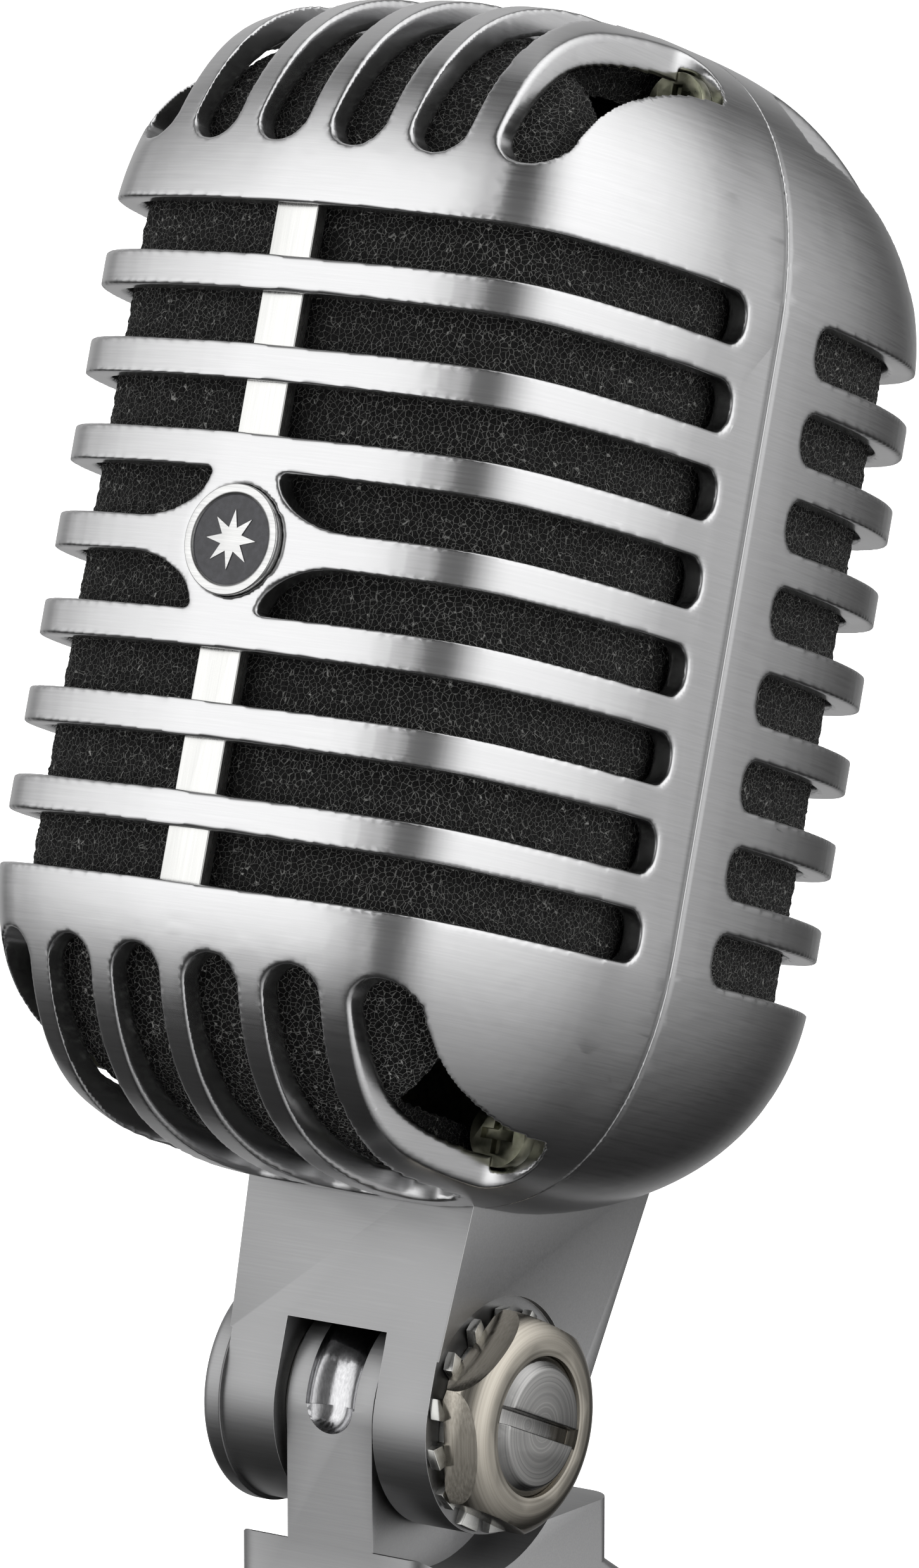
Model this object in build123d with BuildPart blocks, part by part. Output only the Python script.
from build123d import *

import os
from math import asin, cos, pi, radians, sin, sqrt

# A slatted die-cast stage microphone head on a tilting stand base. Millimetres, +Z up, the
# front faces -Y. The origin is the mouth of the stand thread, and the head leans back at rest.
# Head pieces are modelled upright about the head's centre and then set down with head_place.

os.makedirs("parts", exist_ok=True)

# ---- Driving dimensions: head shells ----
head_width = 56.0
head_depth = 78.0
head_half_height = 53.3
wall = 2.5
nose_radius = 67.0  # crown of the front face, in plan
nose_half_angle = radians(16.9)
corner_radius = 8.0
side_radius = 57.0
rear_fullness = 3.3  # superellipse exponent of the rear half, in plan
cap_start = 27.7  # height above the head's centre where the caps begin to close in
width_profile = (2.0, 3.7)  # exponents of the cap's closing curve, across
front_profile = (1.85, 3.8)  # the same, towards the front
rear_profile = (2.3, 1.8)  # the same, towards the rear
seam_y = -2.3
seam_gap = 0.06

# ---- Driving dimensions: slots ----
slot_rows = 8
slot_pitch = 7.85
slot_height = 4.6
slot_end_radius = 2.0
slot_end_front_y = -7.8
slot_end_rear_y = 4.4
strip_width = 4.4
strip_recess = 1.0
strip_thickness = 1.4
strip_notch = 2.4  # depth of the notches behind the bars, from the strip's face
pad_half_width = 11.5
pad_flare = 8.0
cap_slot_count = 6
cap_slot_pitch = 8.0
cap_slot_width = 5.4
cap_slot_start = 35.4  # height of the cap slots' round front ends
cap_slot_rear_gap_y = 27.6  # the lower rear cap slots start behind the neck

# ---- Driving dimensions: badge, bosses, screws, foam ----
badge_radius = 4.9
badge_thickness = 1.5
badge_proud = 0.3
boss_x = 17.6
boss_z = 46.2
boss_radius = 3.7
boss_length = 5.5
screw_radius = 1.45
screw_hole_radius = 1.6
screw_head_radius = 2.9
screw_head_height = 1.7
cross_width = 0.9
cross_length = 3.4
head_room = 0.1  # clearance round a sunk screw head
foam_thickness = 3.4
foam_gap = 0.3
foam_notch_x = 13.4  # the lining stops short of the corners that hold the bosses
foam_notch_z = 41.0
foam_notch_rear = 6.0
foam_notch_fronts = {1: -24.0, -1: -13.0}  # longer on the right, where a screw shows

# ---- Driving dimensions: capsule and its mounting ----
capsule_radius = 16.0
capsule_length = 26.0
capsule_front_y = -20.0
capsule_z = 5.0
capsule_wall = 1.2
cover_hole_radius = 1.2
diaphragm_radius = 13.4
diaphragm_thickness = 0.4
diaphragm_drop = 1.6  # behind the housing's front edge
coil_radius = 8.3
coil_wall = 0.6
coil_gap = 0.4
coil_reach = 3.0  # how far the coil dips into the yoke's gap
cover_holes = ((4.4, 6), (8.6, 12), (12.6, 18))  # radius of each ring, and its holes
pole_gap = 2.4
magnet_radius = 7.0
magnet_length = 9.0
pole_length = 6.0
yoke_wall = 2.2
yoke_face = 4.0
shock_mount_wall = 2.2
shock_mount_length = 5.0
ring_radius = 20.3
chassis_thickness = 1.6
chassis_y = -3.2
chassis_width = 22.0
transformer_size = (18.0, 8.0, 15.0)
transformer_leg = 5.0
transformer_window = (3.2, 9.0)
transformer_lift = 3.0
winding_overhang = 2.5
winding_gap = (0.1, 0.2)
chassis_rear_y = 17.0
chassis_screw_x = 8.0

# ---- Driving dimensions: neck and pivot, from the pivot's centre ----
pivot_y = 6.8  # the pivot's place in the head, behind its centre
pivot_drop = 70.9  # and below its centre
rest_tilt = 17.0  # degrees that the head leans back at rest
ear_radius = 10.4
ear_rear_radius = 13.2
neck_half_width = 11.3
neck_top_half_width = 12.8
neck_rear_top_y = 17.2
neck_top_z = 24.5
clevis_half_gap = 5.5
window_height = 6.0
tongue_half_width = 4.7
tongue_radius = 9.4
tongue_clearance = 0.5
bolt_radius = 6.4
running_clearance = 0.05
bolt_head_radius = 10.8
bolt_head_rim = 2.2
bolt_head_crown = 1.6
bolt_head_round = 1.0
bolt_end_chamfer = 1.1
spot_face_radius = 11.2
washer_thickness = 1.0
nut_across_flats = 18.0
nut_height = 4.0
nut_face_radius = 7.8
nut_angle = 49.6
nut_rim = 0.5
nut_side = 0.7
bolt_end_proud = 0.5
bolt_slot_width = 1.5
bolt_slot_depth = 1.7
bolt_slot_angle = -5.5
washer_ring_radius = 8.4
washer_radius = 10.2
washer_teeth = 14
washer_tooth_width = 1.9
washer_tooth_root = 7.4
friction_washer_thickness = 0.7
friction_washer_radius = 8.6
lead_hole_radius = 3.5
chassis_screw_depth = 7.0

# ---- Driving dimensions: base ----
pivot_height = 63.0
base_top_drop = 11.4  # the base casting's top edge, below the pivot
base_pocket_radius = 14.6
base_top_half_width = 10.9
base_top_rear_y = 20.0
base_top_corner = 2.5
base_collar_height = 6.0
base_half_width = 15.5
base_front_y = -14.0
base_rear_y = 37.0
base_corner = 6.0
base_shoulder_z = 34.0
cover_thickness = 2.0
insert_radius = 10.0
insert_bore_radius = 7.45  # the crests of a 5/8 inch, 27 per inch thread
insert_height = 19.0
socket_y = 24.2
socket_radius = 9.5
socket_bore_radius = 8.1
socket_height = 25.0
pin_radius = 1.2
pin_circle_radius = 4.2
pin_recess = 3.0
pin_length = 26.0
pin_angles = (205, 335, 90)
insulator_thickness = 5.0
duct_radius = 2.5
lead_groove_width = 5.4
lead_groove_depth = 1.7
cover_screw_inset = 4.0
socket_screw_z = 10.0
duct_z = 29.0
tongue_duct_y = 12.9
groove_turn = 172  # degrees round the tongue's rim, from behind, over the top, to the front
tongue_rear_y = 17.5
tongue_waist_drop = 7.0
cover_screw_length = 12.0
cover_screw_head_height = 1.2
switch_z = 27.0
switch_plate_size = (20.0, 9.0)
switch_plate_thickness = 0.7
switch_body_size = (14.0, 7.5, 7.0)
switch_travel = 4.0
knob_size = (5.0, 3.0)
knob_proud = 1.6
knob_gap = 0.3
knob_depth = 2.0
switch_screw_x = 8.4
switch_screw_length = 3.5
switch_screw_head = 0.8
switch_plate_corner = 1.5
screw_slot_width = 0.5
knob_ridge_pitch = 1.2
knob_ridge_depth = 0.4
knob_ridge_width = 0.5
pilot_radius = 0.7


def cover_screw_centres():
    """Centres (x, y) of the screws near the base's four corners."""
    x = base_half_width - cover_screw_inset
    return [
        (side * x, y)
        for side in (1, -1)
        for y in (base_front_y + cover_screw_inset, base_rear_y - cover_screw_inset)
    ]


head_place = (
    Location((0, 0, pivot_height), (-rest_tilt, 0, 0)) * Location((0, -pivot_y, pivot_drop))
)


def arc_points(radius, start, end, count):
    """Offsets from an arc's first point, for headings that turn from start to end."""
    points = []
    for step in range(1, count + 1):
        heading = start + (end - start) * step / count
        points.append(
            (radius * (sin(heading) - sin(start)), radius * (cos(start) - cos(heading)))
        )
    return points


def half_outline(inset):
    """Right half of the head's plan outline, moved inwards, from the nose to the rear."""
    nose, corner, side = nose_radius - inset, corner_radius - inset, side_radius - inset
    # The corner arc ends where the side arc, tangent to it, reaches the full half width.
    reach = head_width / 2 - side_radius - (nose_radius - corner_radius) * sin(nose_half_angle)
    corner_end = asin(reach / (corner_radius - side_radius))
    x, y = 0.0, -head_depth / 2 + inset
    points = [(x, y)]
    for radius, start, end, count in (
        (nose, 0.0, nose_half_angle, 2),
        (corner, nose_half_angle, corner_end, 3),
        (side, corner_end, pi / 2, 3),
    ):
        base_x, base_y = points[-1]
        points += [(base_x + dx, base_y + dy) for dx, dy in arc_points(radius, start, end, count)]
    widest_x, widest_y = points[-1]
    rear_reach = head_depth / 2 - inset - widest_y
    for step in range(1, 6):
        angle = pi / 2 * step / 6
        points.append(
            (
                widest_x * cos(angle) ** (2 / rear_fullness),
                widest_y + rear_reach * sin(angle) ** (2 / rear_fullness),
            )
        )
    return points + [(0.0, head_depth / 2 - inset)]


def closing(share, exponents):
    """How far a cap has closed in at a share of its height: 1 at its start, 0 at its top."""
    inner, outer = exponents
    return (1 - share**inner) ** (1 / outer)


def head_outline(z, inset):
    """The closed plan outline at a height, moved inwards by inset from the outer skin."""
    top = head_half_height - inset
    share = max(0.0, (abs(z) - cap_start) / (top - cap_start))
    across = closing(share, width_profile)
    forward, backward = closing(share, front_profile), closing(share, rear_profile)
    right = [
        (x * across, y * (forward if y < 0 else backward)) for x, y in half_outline(inset)
    ]
    return right + [(-x, y) for x, y in right[-2:0:-1]]


def cap_heights(inset):
    """Section heights from the start of a cap to just under its top."""
    rise = head_half_height - inset - cap_start
    shares = [sin(pi / 2 * step / 8) for step in range(7)] + [0.97, 0.993]
    return [cap_start + rise * share for share in shares]


def head_solid(inset):
    """The solid inside the head's outer skin, moved inwards by inset."""
    with BuildPart() as solid:
        for side in (1, -1):
            for z in cap_heights(inset):
                with BuildSketch(Plane.XY.offset(side * z)):
                    with BuildLine():
                        Spline(*head_outline(z, inset), periodic=True)
                    make_face()
            loft()
        with BuildSketch(Plane.XY.offset(-cap_start)):
            with BuildLine():
                Spline(*head_outline(0, inset), periodic=True)
            make_face()
        extrude(amount=2 * cap_start)
    return solid.part


def slot_heights():
    """Centre heights of the horizontal slots."""
    return [(row - (slot_rows - 1) / 2) * slot_pitch for row in range(slot_rows)]


def badge_pad():
    """What the two middle slots leave standing: the middle bar, flared round the badge."""
    half_height = slot_pitch / 2 + slot_height / 2
    with BuildPart() as pad:
        with BuildSketch(Plane.XZ.offset(head_depth / 2 - 2 * wall)):
            Rectangle(2 * pad_half_width, 2 * half_height)
            with GridLocations(2 * pad_half_width, 2 * half_height, 2, 2):
                Ellipse(pad_flare, slot_height, mode=Mode.SUBTRACT)
        extrude(amount=4 * wall)
    return pad.part


def row_slots(end_y, facing):
    """Cutting tool for one shell's horizontal slots, with round ends beside the seam."""
    reach = head_depth
    with BuildPart() as tool:
        with BuildSketch(Plane.YZ):
            for z in slot_heights():
                with Locations((end_y + facing * reach / 2, z)):
                    RectangleRounded(reach, slot_height, slot_end_radius)
        extrude(amount=head_width, both=True)
        if facing < 0:
            add(badge_pad(), mode=Mode.SUBTRACT)
    return tool.part


def cap_slots(end_y, facing, side):
    """Cutting tool for the slots of one shell's upper (side 1) or lower (side -1) cap."""
    radius = cap_slot_width / 2
    length = head_depth
    centre_z = side * (cap_slot_start + length / 2)
    centres = [(n - (cap_slot_count - 1) / 2) * cap_slot_pitch for n in range(cap_slot_count)]
    with BuildPart() as tool:
        # Plane.XZ faces -Y, so a front tool is extruded forwards and a rear one backwards.
        with BuildSketch(Plane.XZ.offset(-(end_y + facing * radius))):
            with Locations(*[(x, centre_z) for x in centres]):
                SlotOverall(length, cap_slot_width, rotation=90)
        extrude(amount=-facing * head_depth)
        with Locations(
            *[(x, end_y + facing * radius, centre_z + side * radius) for x in centres]
        ):
            Cylinder(radius, length)
    return tool.part


# ---- Round pieces along an axis, used inside a part block ----
def along_x(radius, low, high, centre=(0, 0), mode=Mode.ADD):
    """A cylinder along X from low to high, with its axis at centre (y, z)."""
    with Locations(Location(((low + high) / 2, *centre), (0, 90, 0))):
        Cylinder(radius, high - low, mode=mode)


def along_y(radius, low, high, centre=(0, 0), mode=Mode.ADD):
    """A cylinder along Y from low to high, with its axis at centre (x, z)."""
    with Locations(Location((centre[0], (low + high) / 2, centre[1]), (90, 0, 0))):
        Cylinder(radius, high - low, mode=mode)


def along_z(radius, low, high, centre=(0, 0), mode=Mode.ADD):
    """A cylinder along Z from low to high, with its axis at centre (x, y)."""
    with Locations((*centre, (low + high) / 2)):
        Cylinder(radius, high - low, mode=mode)


def cross(centre, face, depth, axis):
    """Cuts a cross recess into a screw head whose face is at face along the axis."""
    for width, length in ((cross_width, cross_length), (cross_length, cross_width)):
        if axis == "y":
            with Locations((centre[0], face, centre[1])):
                Box(width, depth, length, mode=Mode.SUBTRACT)
        else:
            with Locations((*centre, face)):
                Box(width, length, depth, mode=Mode.SUBTRACT)


def half_space(facing, gap=seam_gap / 2):
    """A block that holds everything in front of the seam (facing -1) or behind it (1)."""
    depth = 2 * head_depth
    with BuildPart() as block:
        with Locations((0, seam_y + facing * (gap + depth / 2), 0)):
            Box(3 * head_width, depth, 4 * head_half_height)
    return block.part


# ---- Neck: the casting under the head, a clevis around the base's tongue ----
def at_pivot(y, z):
    """A point given from the pivot's centre, in the head's own frame."""
    return (y + pivot_y, z - pivot_drop)


pivot_centre = at_pivot(0, 0)
neck_top = neck_top_z - pivot_drop

with BuildPart() as neck_block:
    with BuildSketch(Plane.YZ):
        with BuildLine():
            Line(at_pivot(-ear_radius, neck_top_z), at_pivot(-ear_radius, 0))
            ThreePointArc(
                at_pivot(-ear_radius, 0),
                at_pivot(-ear_radius * sqrt(0.5), -ear_radius * sqrt(0.5)),
                at_pivot(0, -ear_radius),
            )
            EllipticalCenterArc(
                pivot_centre, ear_rear_radius, ear_radius, start_angle=270, arc_size=90
            )
            Line(at_pivot(ear_rear_radius, 0), at_pivot(neck_rear_top_y, neck_top_z))
            Line(at_pivot(neck_rear_top_y, neck_top_z), at_pivot(-ear_radius, neck_top_z))
        make_face()
    extrude(amount=neck_top_half_width, both=True)
    with BuildSketch(Plane.XZ):
        with BuildLine():
            Polyline(
                (-neck_top_half_width, neck_top),
                (-neck_half_width, -pivot_drop),
                (-neck_half_width, -pivot_drop - 2 * ear_radius),
                (neck_half_width, -pivot_drop - 2 * ear_radius),
                (neck_half_width, -pivot_drop),
                (neck_top_half_width, neck_top),
                close=True,
            )
        make_face()
    extrude(amount=head_depth, both=True, mode=Mode.INTERSECT)

with BuildPart() as neck:
    add(neck_block.part)
    # The clevis gap, open in front and behind up to the window's top.
    with Locations((0, pivot_y, -pivot_drop + window_height - 2 * ear_radius)):
        Box(2 * clevis_half_gap, 4 * ear_radius, 4 * ear_radius, mode=Mode.SUBTRACT)
    # Room for the tongue's round top behind the window, and a way up for the lead.
    tongue_room = tongue_radius + tongue_clearance
    along_x(tongue_room, -clevis_half_gap, clevis_half_gap, pivot_centre, Mode.SUBTRACT)
    along_z(lead_hole_radius, -pivot_drop, neck_top, (0, pivot_y), Mode.SUBTRACT)
    along_x(
        bolt_radius, -neck_top_half_width, neck_top_half_width, pivot_centre, Mode.SUBTRACT
    )
    # Flats for the bolt's head and the washer, where the neck widens upwards.
    for low, high in (
        (-2 * neck_half_width, -neck_half_width),
        (neck_half_width, 2 * neck_half_width),
    ):
        along_x(spot_face_radius, low, high, pivot_centre, Mode.SUBTRACT)
    for side in (1, -1):
        hole = (side * chassis_screw_x, pivot_y)
        along_z(screw_radius, neck_top - chassis_screw_depth, neck_top, hole, Mode.SUBTRACT)
neck.part.label = "neck"
export_step(neck.part.moved(head_place), "parts/neck.step")


# ---- Head shells: two die-cast halves that meet at the seam ----
def boss_centres(z_side):
    """Centres (x, z) of the pair of screw bosses in the upper (1) or lower (-1) cap."""
    return [(side * boss_x, z_side * boss_z) for side in (1, -1)]


def shell(facing):
    """The front (facing -1) or rear (facing 1) shell without its fittings."""
    end_y = slot_end_front_y if facing < 0 else slot_end_rear_y
    lower_end_y = end_y if facing < 0 else cap_slot_rear_gap_y
    boss_low, boss_high = sorted((seam_y, seam_y + facing * boss_length))
    with BuildPart() as half:
        add(head_skin)
        add(head_hollow, mode=Mode.SUBTRACT)
        add(row_slots(end_y, facing), mode=Mode.SUBTRACT)
        add(cap_slots(end_y, facing, 1), mode=Mode.SUBTRACT)
        add(cap_slots(lower_end_y, facing, -1), mode=Mode.SUBTRACT)
        for centre in boss_centres(1) + boss_centres(-1):
            along_y(boss_radius, boss_low, boss_high, centre)
        add(half_space(facing), mode=Mode.INTERSECT)
        for centre in boss_centres(1) + boss_centres(-1):
            if facing < 0:
                head_y = boss_low - screw_head_height - head_room
                along_y(screw_head_radius + head_room, head_y, boss_low, centre, Mode.SUBTRACT)
                along_y(screw_hole_radius, boss_low, boss_high, centre, Mode.SUBTRACT)
            else:
                along_y(screw_radius, boss_low, boss_high, centre, Mode.SUBTRACT)
        add(neck_block.part, mode=Mode.SUBTRACT)
    return half.part


head_skin = head_solid(0)
head_hollow = head_solid(wall)
slot_stack = slot_heights()[-1] + slot_height / 2
nose_y = -head_depth / 2
badge_floor_y = nose_y + badge_thickness - badge_proud
strip_rear_y = nose_y + strip_recess + strip_thickness
strip_length = 2 * slot_stack + wall

with BuildPart() as badge:
    along_y(badge_radius, badge_floor_y - badge_thickness, badge_floor_y)
badge.part.label = "badge"
export_step(badge.part.moved(head_place), "parts/badge.step")

# The strip down the front lies in notches behind the bars.
with BuildPart() as front_strip:
    with Locations((0, strip_rear_y - strip_thickness / 2, 0)):
        Box(strip_width, strip_thickness, strip_length)
    add(badge.part, mode=Mode.SUBTRACT)
front_strip.part.label = "front_strip"
export_step(front_strip.part.moved(head_place), "parts/front_strip.step")

with BuildPart() as front_shell:
    add(shell(-1))
    with Locations((0, nose_y + strip_recess + strip_notch / 2, 0)):
        Box(strip_width, strip_notch, strip_length, mode=Mode.SUBTRACT)
    along_y(badge_radius, nose_y - wall, badge_floor_y, mode=Mode.SUBTRACT)
front_shell.part.label = "front_shell"
export_step(front_shell.part.moved(head_place), "parts/front_shell.step")

with BuildPart() as rear_shell:
    add(shell(1))
rear_shell.part.label = "rear_shell"
export_step(rear_shell.part.moved(head_place), "parts/rear_shell.step")


def shell_screws(z_side):
    """A pair of cross-head screws, driven from the front through the bosses."""
    seat_y = seam_y - boss_length
    head_y = seat_y - screw_head_height
    with BuildPart() as pair:
        for centre in boss_centres(z_side):
            along_y(screw_head_radius, head_y, seat_y, centre)
            along_y(screw_radius, seat_y, seam_y + boss_length - 1, centre)
            cross(centre, head_y, screw_head_height, "y")
    return pair.part


with BuildPart() as shell_screws_upper:
    add(shell_screws(1))
shell_screws_upper.part.label = "shell_screws_upper"
export_step(shell_screws_upper.part.moved(head_place), "parts/shell_screws_upper.step")

with BuildPart() as shell_screws_lower:
    add(shell_screws(-1))
shell_screws_lower.part.label = "shell_screws_lower"
export_step(shell_screws_lower.part.moved(head_place), "parts/shell_screws_lower.step")


# ---- Foam: an open-cell lining behind the slots of each shell ----
def foam(facing):
    """The lining of one shell, clear of the bosses and of the neck's top."""
    outer_inset = wall + foam_gap
    neck_depth = ear_radius + neck_rear_top_y + 2 * foam_gap
    with BuildPart() as lining:
        add(head_solid(outer_inset))
        add(head_solid(outer_inset + foam_thickness), mode=Mode.SUBTRACT)
        add(half_space(facing, foam_gap), mode=Mode.INTERSECT)
        across, upward = head_width / 2 - foam_notch_x, head_half_height - foam_notch_z
        for x, z in boss_centres(1) + boss_centres(-1):
            side = 1 if x > 0 else -1
            front = foam_notch_fronts[side]
            corner_x = (foam_notch_x + across / 2) * side
            corner_z = (foam_notch_z + upward / 2) * (1 if z > 0 else -1)
            with Locations((corner_x, (front + foam_notch_rear) / 2, corner_z)):
                Box(across, foam_notch_rear - front, upward, mode=Mode.SUBTRACT)
        with Locations((0, pivot_y - ear_radius - foam_gap + neck_depth / 2, -head_half_height)):
            Box(
                2 * (neck_top_half_width + foam_gap),
                neck_depth,
                2 * (head_half_height + neck_top + foam_gap + chassis_thickness),
                mode=Mode.SUBTRACT,
            )
    return lining.part


with BuildPart() as foam_front:
    add(foam(-1))
foam_front.part.label = "foam_front"
export_step(foam_front.part.moved(head_place), "parts/foam_front.step")

with BuildPart() as foam_rear:
    add(foam(1))
foam_rear.part.label = "foam_rear"
export_step(foam_rear.part.moved(head_place), "parts/foam_rear.step")


# ---- Capsule: a moving-coil unit that faces the front ----
axis_xz = (0, capsule_z)
capsule_rear_y = capsule_front_y + capsule_length
bore_radius = capsule_radius - capsule_wall
diaphragm_y = capsule_front_y + diaphragm_drop
pole_front_y = diaphragm_y + pole_gap
coil_rear_y = pole_front_y + coil_reach
magnet_front_y = pole_front_y + pole_length
yoke_floor_y = magnet_front_y + magnet_length

with BuildPart() as capsule_housing:
    along_y(capsule_radius, capsule_front_y, capsule_rear_y, axis_xz)
    along_y(bore_radius, capsule_front_y, capsule_rear_y - capsule_wall, axis_xz, Mode.SUBTRACT)
capsule_housing.part.label = "capsule_housing"
export_step(capsule_housing.part.moved(head_place), "parts/capsule_housing.step")

with BuildPart() as capsule_cover:
    along_y(capsule_radius, capsule_front_y - capsule_wall, capsule_front_y, axis_xz)
    with Locations(Location((0, capsule_front_y, capsule_z), (90, 0, 0))):
        Cylinder(cover_hole_radius, 4 * capsule_wall, mode=Mode.SUBTRACT)
        for ring, count in cover_holes:
            with PolarLocations(ring, count):
                Cylinder(cover_hole_radius, 4 * capsule_wall, mode=Mode.SUBTRACT)
capsule_cover.part.label = "capsule_cover"
export_step(capsule_cover.part.moved(head_place), "parts/capsule_cover.step")

with BuildPart() as diaphragm:
    along_y(diaphragm_radius, diaphragm_y - diaphragm_thickness, diaphragm_y, axis_xz)
diaphragm.part.label = "diaphragm"
export_step(diaphragm.part.moved(head_place), "parts/diaphragm.step")

with BuildPart() as diaphragm_ring:
    along_y(bore_radius, capsule_front_y, diaphragm_y, axis_xz)
    along_y(diaphragm_radius, capsule_front_y, diaphragm_y, axis_xz, Mode.SUBTRACT)
diaphragm_ring.part.label = "diaphragm_ring"
export_step(diaphragm_ring.part.moved(head_place), "parts/diaphragm_ring.step")

with BuildPart() as voice_coil:
    along_y(coil_radius + coil_wall / 2, diaphragm_y, coil_rear_y, axis_xz)
    along_y(coil_radius - coil_wall / 2, diaphragm_y, coil_rear_y, axis_xz, Mode.SUBTRACT)
voice_coil.part.label = "voice_coil"
export_step(voice_coil.part.moved(head_place), "parts/voice_coil.step")

with BuildPart() as pole_piece:
    along_y(coil_radius - coil_wall / 2 - coil_gap, pole_front_y, magnet_front_y, axis_xz)
pole_piece.part.label = "pole_piece"
export_step(pole_piece.part.moved(head_place), "parts/pole_piece.step")

with BuildPart() as magnet:
    along_y(magnet_radius, magnet_front_y, yoke_floor_y, axis_xz)
magnet.part.label = "magnet"
export_step(magnet.part.moved(head_place), "parts/magnet.step")

with BuildPart() as yoke:
    along_y(bore_radius, pole_front_y, yoke_floor_y + yoke_wall, axis_xz)
    face_rear_y = pole_front_y + yoke_face
    gap_radius = coil_radius + coil_wall / 2 + coil_gap
    along_y(bore_radius - yoke_wall, face_rear_y, yoke_floor_y, axis_xz, Mode.SUBTRACT)
    along_y(gap_radius, pole_front_y, face_rear_y, axis_xz, Mode.SUBTRACT)
yoke.part.label = "yoke"
export_step(yoke.part.moved(head_place), "parts/yoke.step")


# ---- Chassis: holds the capsule in a rubber ring and stands on the neck ----
ring_hole_radius = capsule_radius + shock_mount_wall
floor_top = neck_top + chassis_thickness
plate_rear_y = chassis_y + chassis_thickness

with BuildPart() as shock_mount:
    mount_y = chassis_y + chassis_thickness / 2
    low, high = mount_y - shock_mount_length / 2, mount_y + shock_mount_length / 2
    along_y(ring_hole_radius, low, high, axis_xz)
    along_y(capsule_radius, low, high, axis_xz, Mode.SUBTRACT)
shock_mount.part.label = "shock_mount"
export_step(shock_mount.part.moved(head_place), "parts/shock_mount.step")

with BuildPart() as chassis:
    with Locations((0, (chassis_y + chassis_rear_y) / 2, neck_top + chassis_thickness / 2)):
        Box(chassis_width, chassis_rear_y - chassis_y, chassis_thickness)
    with Locations((0, chassis_y + chassis_thickness / 2, (neck_top + capsule_z) / 2)):
        Box(chassis_width, chassis_thickness, capsule_z - neck_top)
    along_y(ring_radius, chassis_y, plate_rear_y, axis_xz)
    along_y(ring_hole_radius, chassis_y, plate_rear_y, axis_xz, Mode.SUBTRACT)
    along_z(lead_hole_radius, neck_top, floor_top, (0, pivot_y), Mode.SUBTRACT)
    for side in (1, -1):
        hole = (side * chassis_screw_x, pivot_y)
        along_z(screw_hole_radius, neck_top, floor_top, hole, Mode.SUBTRACT)
chassis.part.label = "chassis"
export_step(chassis.part.moved(head_place), "parts/chassis.step")

with BuildPart() as chassis_screws:
    for side in (1, -1):
        centre = (side * chassis_screw_x, pivot_y)
        along_z(screw_radius, neck_top - chassis_screw_depth + 1, floor_top, centre)
        along_z(screw_head_radius, floor_top, floor_top + screw_head_height, centre)
        cross(centre, floor_top + screw_head_height, screw_head_height, "z")
chassis_screws.part.label = "chassis_screws"
export_step(chassis_screws.part.moved(head_place), "parts/chassis_screws.step")

core_width, core_depth, core_height = transformer_size
window_width, window_tall = transformer_window
core_centre = (0, plate_rear_y + core_depth / 2, floor_top + transformer_lift + core_height / 2)

with BuildPart() as transformer_core:
    with Locations(core_centre):
        Box(core_width, core_depth, core_height)
        with Locations(*[(s * (transformer_leg + window_width) / 2, 0, 0) for s in (1, -1)]):
            Box(window_width, 2 * core_depth, window_tall, mode=Mode.SUBTRACT)
transformer_core.part.label = "transformer_core"
export_step(transformer_core.part.moved(head_place), "parts/transformer_core.step")

with BuildPart() as transformer_coil:
    gap_across, gap_up = winding_gap
    with Locations(core_centre):
        with Locations((0, winding_overhang / 2, 0)):
            Box(
                transformer_leg + 2 * (window_width - gap_across),
                core_depth + winding_overhang,
                window_tall - 2 * gap_up,
            )
        Box(transformer_leg, core_depth, window_tall, mode=Mode.SUBTRACT)
transformer_coil.part.label = "transformer_coil"
export_step(transformer_coil.part.moved(head_place), "parts/transformer_coil.step")


# ---- Pivot: bolt, washers and nut through the neck's ears and the base's tongue ----
nut_seat_x = neck_half_width + washer_thickness
nut_face_x = nut_seat_x + nut_height
bolt_end_x = nut_face_x + bolt_end_proud
pivot_plane = Plane(origin=(0, *pivot_centre), x_dir=(1, 0, 0), z_dir=(0, -1, 0))
pivot_axis = Axis((0, *pivot_centre), (1, 0, 0))

with BuildPart() as pivot_bolt:
    rim_x = -neck_half_width - bolt_head_rim
    crown_x = rim_x - bolt_head_crown
    with BuildSketch(pivot_plane):
        with BuildLine():
            crown_edge = bolt_head_radius - bolt_head_round
            round_sag = bolt_head_round * (1 - sqrt(0.5))
            crown_ball = (crown_edge**2 + bolt_head_crown**2) / (2 * bolt_head_crown)
            crown_drop = crown_ball - sqrt(crown_ball**2 - (crown_edge / 2) ** 2)
            ThreePointArc((rim_x, crown_edge), (crown_x + crown_drop, crown_edge / 2), (crown_x, 0))
            Polyline(
                (crown_x, 0),
                (bolt_end_x, 0),
                (bolt_end_x, bolt_radius - bolt_end_chamfer),
                (bolt_end_x - bolt_end_chamfer, bolt_radius),
                (-neck_half_width, bolt_radius),
                (-neck_half_width, bolt_head_radius),
                (rim_x + bolt_head_round, bolt_head_radius),
            )
            ThreePointArc(
                (rim_x + bolt_head_round, bolt_head_radius),
                (rim_x + round_sag, bolt_head_radius - round_sag),
                (rim_x, crown_edge),
            )
        make_face()
    revolve(axis=pivot_axis)
    with Locations(Location((bolt_end_x, *pivot_centre), (bolt_slot_angle, 0, 0))):
        Box(2 * bolt_slot_depth, 3 * bolt_radius, bolt_slot_width, mode=Mode.SUBTRACT)
pivot_bolt.part.label = "pivot_bolt"
export_step(pivot_bolt.part.moved(head_place), "parts/pivot_bolt.step")

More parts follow.
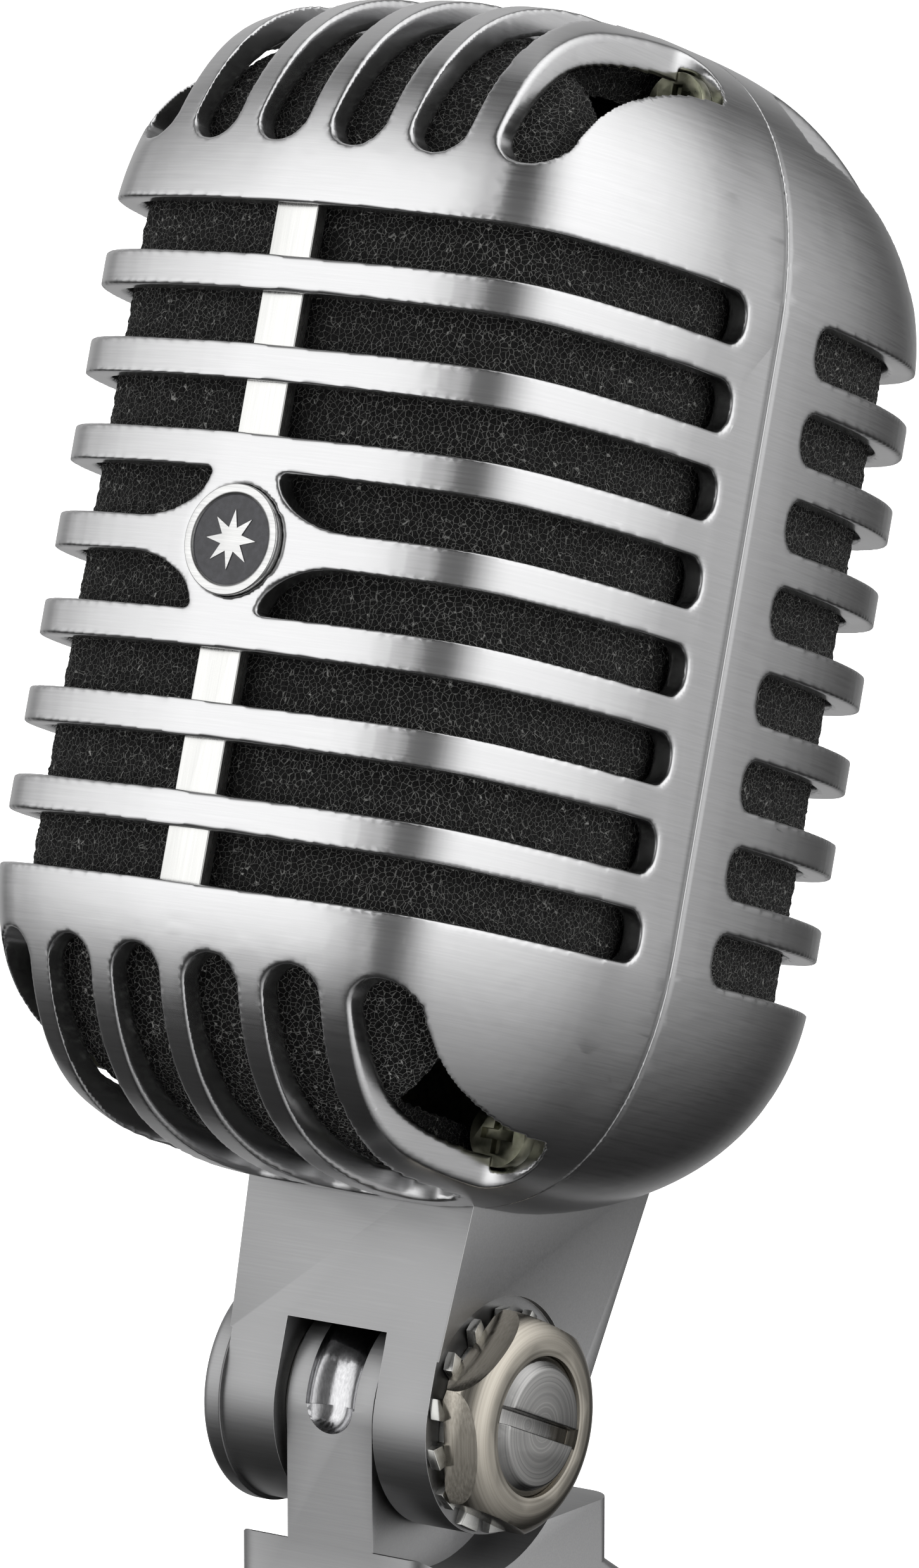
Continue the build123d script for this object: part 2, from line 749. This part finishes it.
with BuildPart() as star_washer:
    along_x(washer_ring_radius, neck_half_width, nut_seat_x, pivot_centre)
    for tooth in range(washer_teeth):
        angle = 360 * tooth / washer_teeth
        reach = (washer_radius + washer_tooth_root) / 2
        y = pivot_centre[0] + reach * cos(radians(angle))
        z = pivot_centre[1] + reach * sin(radians(angle))
        with Locations(Location((neck_half_width + washer_thickness / 2, y, z), (angle, 0, 0))):
            Box(washer_thickness, washer_radius - washer_tooth_root, washer_tooth_width)
    along_x(bolt_radius, neck_half_width, nut_seat_x, pivot_centre, Mode.SUBTRACT)
star_washer.part.label = "star_washer"
export_step(star_washer.part.moved(head_place), "parts/star_washer.step")

with BuildPart() as pivot_nut:
    with BuildSketch(Plane.YZ.offset(nut_seat_x)):
        with Locations(pivot_centre):
            RegularPolygon(nut_across_flats / 2, 6, major_radius=False, rotation=nut_angle)
    extrude(amount=nut_height)
    with BuildSketch(pivot_plane):
        with BuildLine():
            corner = nut_across_flats / sqrt(3)
            Polyline(
                (nut_face_x, nut_face_radius),
                (nut_face_x, 0),
                (nut_seat_x, 0),
                (nut_seat_x, corner - nut_rim),
                (nut_seat_x + nut_rim, corner),
                (nut_seat_x + nut_rim + nut_side, corner),
            )
            shoulder = (nut_seat_x + nut_rim + nut_side, corner)
            TangentArc(shoulder, (nut_face_x, nut_face_radius), tangent=(1, 0))
        make_face()
    revolve(axis=pivot_axis, mode=Mode.INTERSECT)
    along_x(bolt_radius, nut_seat_x, nut_face_x, pivot_centre, Mode.SUBTRACT)
pivot_nut.part.label = "pivot_nut"
export_step(pivot_nut.part.moved(head_place), "parts/pivot_nut.step")

with BuildPart() as friction_washers:
    for side in (1, -1):
        inner = side * (tongue_half_width + running_clearance)
        outer = inner + side * friction_washer_thickness
        low, high = sorted((inner, outer))
        along_x(friction_washer_radius, low, high, pivot_centre)
        along_x(bolt_radius, low, high, pivot_centre, Mode.SUBTRACT)
friction_washers.part.label = "friction_washers"
export_step(friction_washers.part.moved(head_place), "parts/friction_washers.step")


# ---- Base: a casting with the tongue, the stand insert, the outlet and the switch ----
base_top_z = pivot_height - base_top_drop
tongue_front_y = -tongue_radius
base_pivot = (0, pivot_height)


def rounded_outline(half_width, front_y, rear_y, corner):
    """A rounded rectangle between two depths, inside a sketch."""
    with Locations((0, (front_y + rear_y) / 2)):
        RectangleRounded(2 * half_width, rear_y - front_y, corner)


with BuildPart() as base_housing:
    with BuildSketch(Plane.XY.offset(cover_thickness)):
        rounded_outline(base_half_width, base_front_y, base_rear_y, base_corner)
    extrude(amount=base_shoulder_z - cover_thickness)
    with BuildSketch(Plane.XY.offset(base_shoulder_z)):
        rounded_outline(base_half_width, base_front_y, base_rear_y, base_corner)
    with BuildSketch(Plane.XY.offset(base_top_z - base_collar_height)):
        rounded_outline(base_top_half_width, tongue_front_y, base_top_rear_y, base_top_corner)
    loft()
    with BuildSketch(Plane.XY.offset(base_top_z - base_collar_height)):
        rounded_outline(base_top_half_width, tongue_front_y, base_top_rear_y, base_top_corner)
    extrude(amount=base_collar_height)
    # A hollow around the pivot's axis lets the neck's ears turn.
    along_x(base_pocket_radius, -base_half_width, base_half_width, base_pivot, Mode.SUBTRACT)
    with BuildSketch(Plane.YZ):
        with Locations(base_pivot):
            Circle(tongue_radius)
        with BuildLine():
            Polyline(
                (tongue_front_y, pivot_height),
                (tongue_front_y, base_shoulder_z),
                (tongue_rear_y, base_shoulder_z),
                (tongue_rear_y, base_top_z),
                (tongue_radius, pivot_height - tongue_waist_drop),
                (tongue_radius, pivot_height),
                close=True,
            )
        make_face()
    extrude(amount=tongue_half_width, both=True)
    bore_reach = 2 * tongue_half_width
    along_x(bolt_radius + running_clearance, -bore_reach, bore_reach, base_pivot, Mode.SUBTRACT)
    # The lead's groove is round in section and runs over the tongue's rim to a round end.
    groove_half = lead_groove_width / 2
    with BuildSketch(Plane(origin=(0, 0, pivot_height), x_dir=(1, 0, 0), z_dir=(0, 0, 1))):
        with Locations((0, tongue_radius)):
            Ellipse(groove_half, lead_groove_depth)
    groove_axis = Axis((0, 0, pivot_height), (1, 0, 0))
    revolve(axis=groove_axis, revolution_arc=groove_turn, mode=Mode.SUBTRACT)
    end_angle = radians(180 - groove_turn)
    end_radius = tongue_radius + groove_half - lead_groove_depth
    end_centre = (
        0,
        -end_radius * cos(end_angle),
        pivot_height + end_radius * sin(end_angle),
    )
    with Locations(end_centre):
        Sphere(groove_half, mode=Mode.SUBTRACT)
    # Seats of the stand insert and the outlet, and the ducts between them and the switch.
    along_z(insert_radius, 0, insert_height, mode=Mode.SUBTRACT)
    along_z(socket_radius, 0, socket_height, (0, socket_y), Mode.SUBTRACT)
    along_z(socket_bore_radius, socket_height, duct_z + duct_radius + 1, (0, socket_y), Mode.SUBTRACT)
    along_y(duct_radius, base_front_y + switch_body_size[1] - 1, socket_y, (0, duct_z), Mode.SUBTRACT)
    along_z(duct_radius, duct_z, pivot_height - tongue_waist_drop, (0, tongue_duct_y), Mode.SUBTRACT)
    with Locations((0, base_front_y + switch_body_size[1] / 2, switch_z)):
        Box(*switch_body_size, mode=Mode.SUBTRACT)
    for side in (1, -1):
        hole = (side * switch_screw_x, switch_z)
        along_y(pilot_radius, base_front_y, base_front_y + 4, hole, Mode.SUBTRACT)
    along_y(screw_radius, socket_y, base_rear_y, (0, socket_screw_z), Mode.SUBTRACT)
    seat_y = base_rear_y - screw_head_height
    along_y(screw_head_radius, seat_y, base_rear_y, (0, socket_screw_z), Mode.SUBTRACT)
    for centre in cover_screw_centres():
        along_z(screw_radius, 0, cover_screw_length, centre, Mode.SUBTRACT)
base_housing.part.label = "base_housing"
export_step(base_housing.part, "parts/base_housing.step")

with BuildPart() as base_cover:
    with BuildSketch(Plane.XY):
        rounded_outline(base_half_width, base_front_y, base_rear_y, base_corner)
    extrude(amount=cover_thickness)
    along_z(insert_radius, 0, cover_thickness, mode=Mode.SUBTRACT)
    along_z(socket_radius, 0, cover_thickness, (0, socket_y), Mode.SUBTRACT)
    for centre in cover_screw_centres():
        along_z(screw_hole_radius, 0, cover_thickness, centre, Mode.SUBTRACT)
        along_z(screw_head_radius, 0, cover_screw_head_height, centre, Mode.SUBTRACT)
base_cover.part.label = "base_cover"
export_step(base_cover.part, "parts/base_cover.step")

with BuildPart() as base_cover_screws:
    for centre in cover_screw_centres():
        along_z(screw_head_radius, 0, cover_screw_head_height, centre)
        along_z(screw_radius, cover_screw_head_height, cover_screw_length, centre)
        cross(centre, 0, cover_screw_head_height, "z")
base_cover_screws.part.label = "base_cover_screws"
export_step(base_cover_screws.part, "parts/base_cover_screws.step")

with BuildPart() as stand_insert:
    along_z(insert_radius, 0, insert_height)
    along_z(insert_bore_radius, 0, insert_height, mode=Mode.SUBTRACT)
stand_insert.part.label = "stand_insert"
export_step(stand_insert.part, "parts/stand_insert.step")


# ---- Outlet: a three-pin male connector that points down, behind the stand insert ----
def pin_centre(number):
    """Centre (x, y) of a contact: two side by side behind, the third in front."""
    angle = radians(pin_angles[number - 1])
    return (pin_circle_radius * cos(angle), socket_y - pin_circle_radius * sin(angle))


with BuildPart() as socket_shell:
    along_z(socket_radius, 0, socket_height, (0, socket_y))
    along_z(socket_bore_radius, 0, socket_height, (0, socket_y), Mode.SUBTRACT)
    along_y(screw_radius, socket_y, base_rear_y, (0, socket_screw_z), Mode.SUBTRACT)
socket_shell.part.label = "socket_shell"
export_step(socket_shell.part, "parts/socket_shell.step")

with BuildPart() as socket_insulator:
    along_z(socket_bore_radius, socket_height - insulator_thickness, socket_height, (0, socket_y))
    for number in (1, 2, 3):
        along_z(pin_radius, 0, 2 * socket_height, pin_centre(number), Mode.SUBTRACT)
socket_insulator.part.label = "socket_insulator"
export_step(socket_insulator.part, "parts/socket_insulator.step")


def contact_pin(number):
    """One contact pin, with a rounded tip."""
    with BuildPart() as pin:
        along_z(pin_radius, pin_recess + pin_radius, pin_recess + pin_length, pin_centre(number))
        with Locations((*pin_centre(number), pin_recess + pin_radius)):
            Sphere(pin_radius)
    return pin.part


with BuildPart() as contact_pin_1:
    add(contact_pin(1))
contact_pin_1.part.label = "contact_pin_1"
export_step(contact_pin_1.part, "parts/contact_pin_1.step")

with BuildPart() as contact_pin_2:
    add(contact_pin(2))
contact_pin_2.part.label = "contact_pin_2"
export_step(contact_pin_2.part, "parts/contact_pin_2.step")

with BuildPart() as contact_pin_3:
    add(contact_pin(3))
contact_pin_3.part.label = "contact_pin_3"
export_step(contact_pin_3.part, "parts/contact_pin_3.step")

with BuildPart() as socket_screw:
    along_y(screw_head_radius, base_rear_y - screw_head_height, base_rear_y, (0, socket_screw_z))
    along_y(screw_radius, socket_y + socket_bore_radius, base_rear_y, (0, socket_screw_z))
    cross((0, socket_screw_z), base_rear_y, screw_head_height, "y")
socket_screw.part.label = "socket_screw"
export_step(socket_screw.part, "parts/socket_screw.step")


# ---- Switch: a slide switch in the front of the base ----
knob_width, knob_height = knob_size
slot_half = (knob_width + switch_travel) / 2 + knob_gap
knob_rest_x = -switch_travel / 2

with BuildPart() as switch_plate:
    with BuildSketch(Plane.XZ.offset(-base_front_y)):
        with Locations((0, switch_z)):
            RectangleRounded(*switch_plate_size, switch_plate_corner)
            Rectangle(2 * slot_half, knob_height + 2 * knob_gap, mode=Mode.SUBTRACT)
        with Locations(*[(s * switch_screw_x, switch_z) for s in (1, -1)]):
            Circle(pilot_radius, mode=Mode.SUBTRACT)
    extrude(amount=switch_plate_thickness)
switch_plate.part.label = "switch_plate"
export_step(switch_plate.part, "parts/switch_plate.step")

with BuildPart() as switch_screws:
    plate_face_y = base_front_y - switch_plate_thickness
    for side in (1, -1):
        centre = (side * switch_screw_x, switch_z)
        along_y(pilot_radius, plate_face_y, base_front_y + switch_screw_length, centre)
        along_y(2 * pilot_radius, plate_face_y - switch_screw_head, plate_face_y, centre)
        with Locations((centre[0], plate_face_y - switch_screw_head, switch_z)):
            Box(screw_slot_width, switch_screw_head, 4 * pilot_radius, mode=Mode.SUBTRACT)
switch_screws.part.label = "switch_screws"
export_step(switch_screws.part, "parts/switch_screws.step")

with BuildPart() as switch_body:
    with Locations((0, base_front_y + switch_body_size[1] / 2, switch_z)):
        Box(*switch_body_size)
    with Locations((0, base_front_y, switch_z)):
        Box(2 * slot_half, 2 * knob_depth + knob_gap, knob_height + 2 * knob_gap, mode=Mode.SUBTRACT)
switch_body.part.label = "switch_body"
export_step(switch_body.part, "parts/switch_body.step")

with BuildPart() as switch_knob:
    knob_front_y = plate_face_y - knob_proud
    with Locations((knob_rest_x, (knob_front_y + base_front_y + knob_depth) / 2, switch_z)):
        Box(knob_width, base_front_y + knob_depth - knob_front_y, knob_height)
    ridges = [knob_rest_x + n * knob_ridge_pitch for n in (-1, 0, 1)]
    with Locations(*[(x, knob_front_y, switch_z) for x in ridges]):
        Box(knob_ridge_width, 2 * knob_ridge_depth, 2 * knob_height, mode=Mode.SUBTRACT)
switch_knob.part.label = "switch_knob"
export_step(switch_knob.part, "parts/switch_knob.step")
